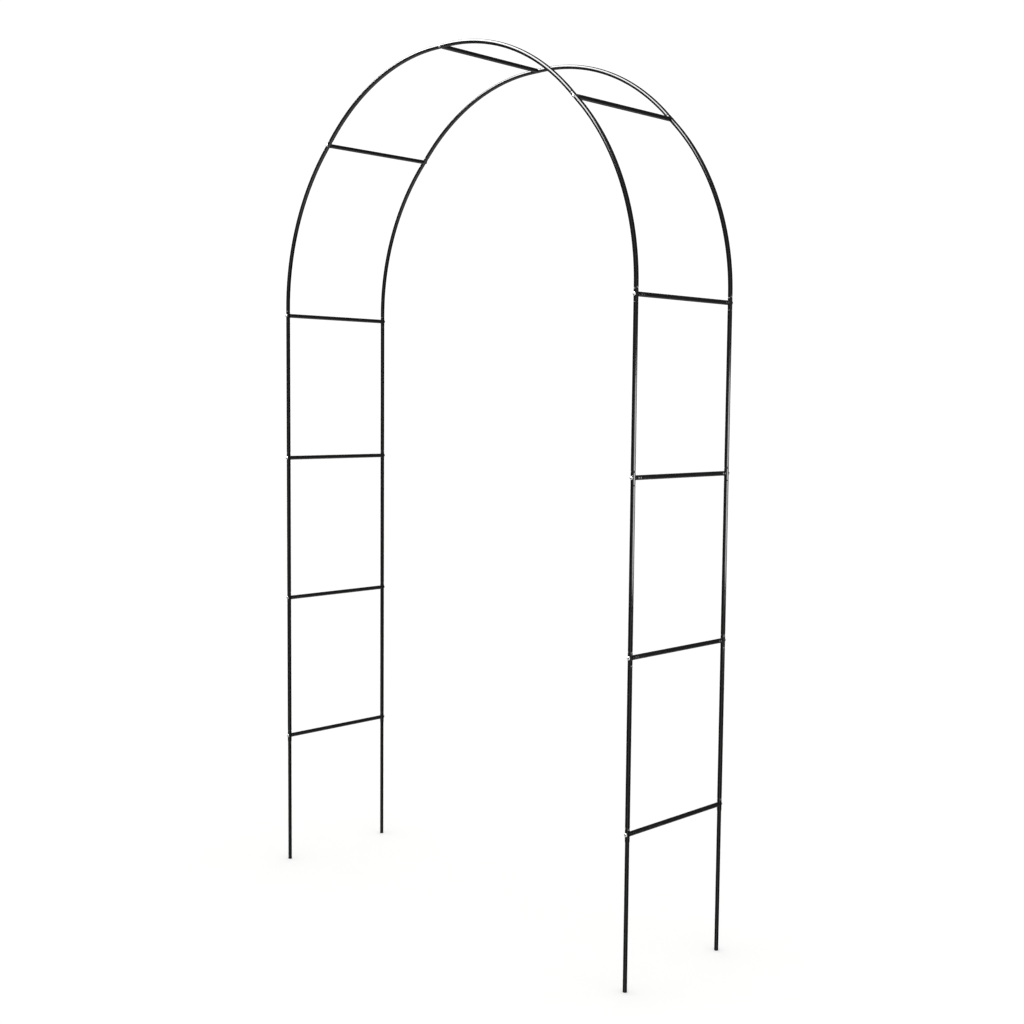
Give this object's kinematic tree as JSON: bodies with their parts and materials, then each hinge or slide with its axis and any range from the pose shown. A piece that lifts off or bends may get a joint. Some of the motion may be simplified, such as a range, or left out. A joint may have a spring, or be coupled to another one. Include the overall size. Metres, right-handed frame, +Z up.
{
  "type": "garden trellis arch",
  "caption": "Slender black steel garden arch of parallel round-topped tube hoops tied by rungs, with plain legs to push into the soil.",
  "frame": {"origin": "on the ground, midway between the four legs", "axes": "+X across the walkway towards the right-hand side, +Y along the walkway from the front hoop to the back hoop, +Z up"},
  "size_m": [1.392, 0.3942, 2.4],
  "materials": {
    "coated_tube": "black powder coat, satin gloss, on thin steel tube",
    "coated_rung": "black powder coat, satin gloss, on thin steel tube",
    "zinc_insert": "zinc-plated steel, threaded, crimped inside the rung end",
    "zinc_screw": "bright zinc-plated steel"
  },
  "bodies": {
    "root": {"front_left_foot": "coated_tube", "front_left_lower_tube": "coated_tube", "front_left_middle_tube": "coated_tube", "front_left_upper_tube": "coated_tube", "front_left_shoulder_tube": "coated_tube", "front_left_crown_tube": "coated_tube", "front_right_foot": "coated_tube", "front_right_lower_tube": "coated_tube", "front_right_middle_tube": "coated_tube", "front_right_upper_tube": "coated_tube", "front_right_shoulder_tube": "coated_tube", "front_right_crown_tube": "coated_tube", "back_left_foot": "coated_tube", "back_left_lower_tube": "coated_tube", "back_left_middle_tube": "coated_tube", "back_left_upper_tube": "coated_tube", "back_left_shoulder_tube": "coated_tube", "back_left_crown_tube": "coated_tube", "back_right_foot": "coated_tube", "back_right_lower_tube": "coated_tube", "back_right_middle_tube": "coated_tube", "back_right_upper_tube": "coated_tube", "back_right_shoulder_tube": "coated_tube", "back_right_crown_tube": "coated_tube", "left_rung_1": "coated_rung", "left_rung_2": "coated_rung", "left_rung_3": "coated_rung", "left_rung_4": "coated_rung", "right_rung_1": "coated_rung", "right_rung_2": "coated_rung", "right_rung_3": "coated_rung", "right_rung_4": "coated_rung", "left_shoulder_rung": "coated_rung", "crown_rung": "coated_rung", "right_shoulder_rung": "coated_rung", "front_inserts": "zinc_insert", "back_inserts": "zinc_insert", "front_screws": "zinc_screw", "back_screws": "zinc_screw"}
  },
  "joints": []
}
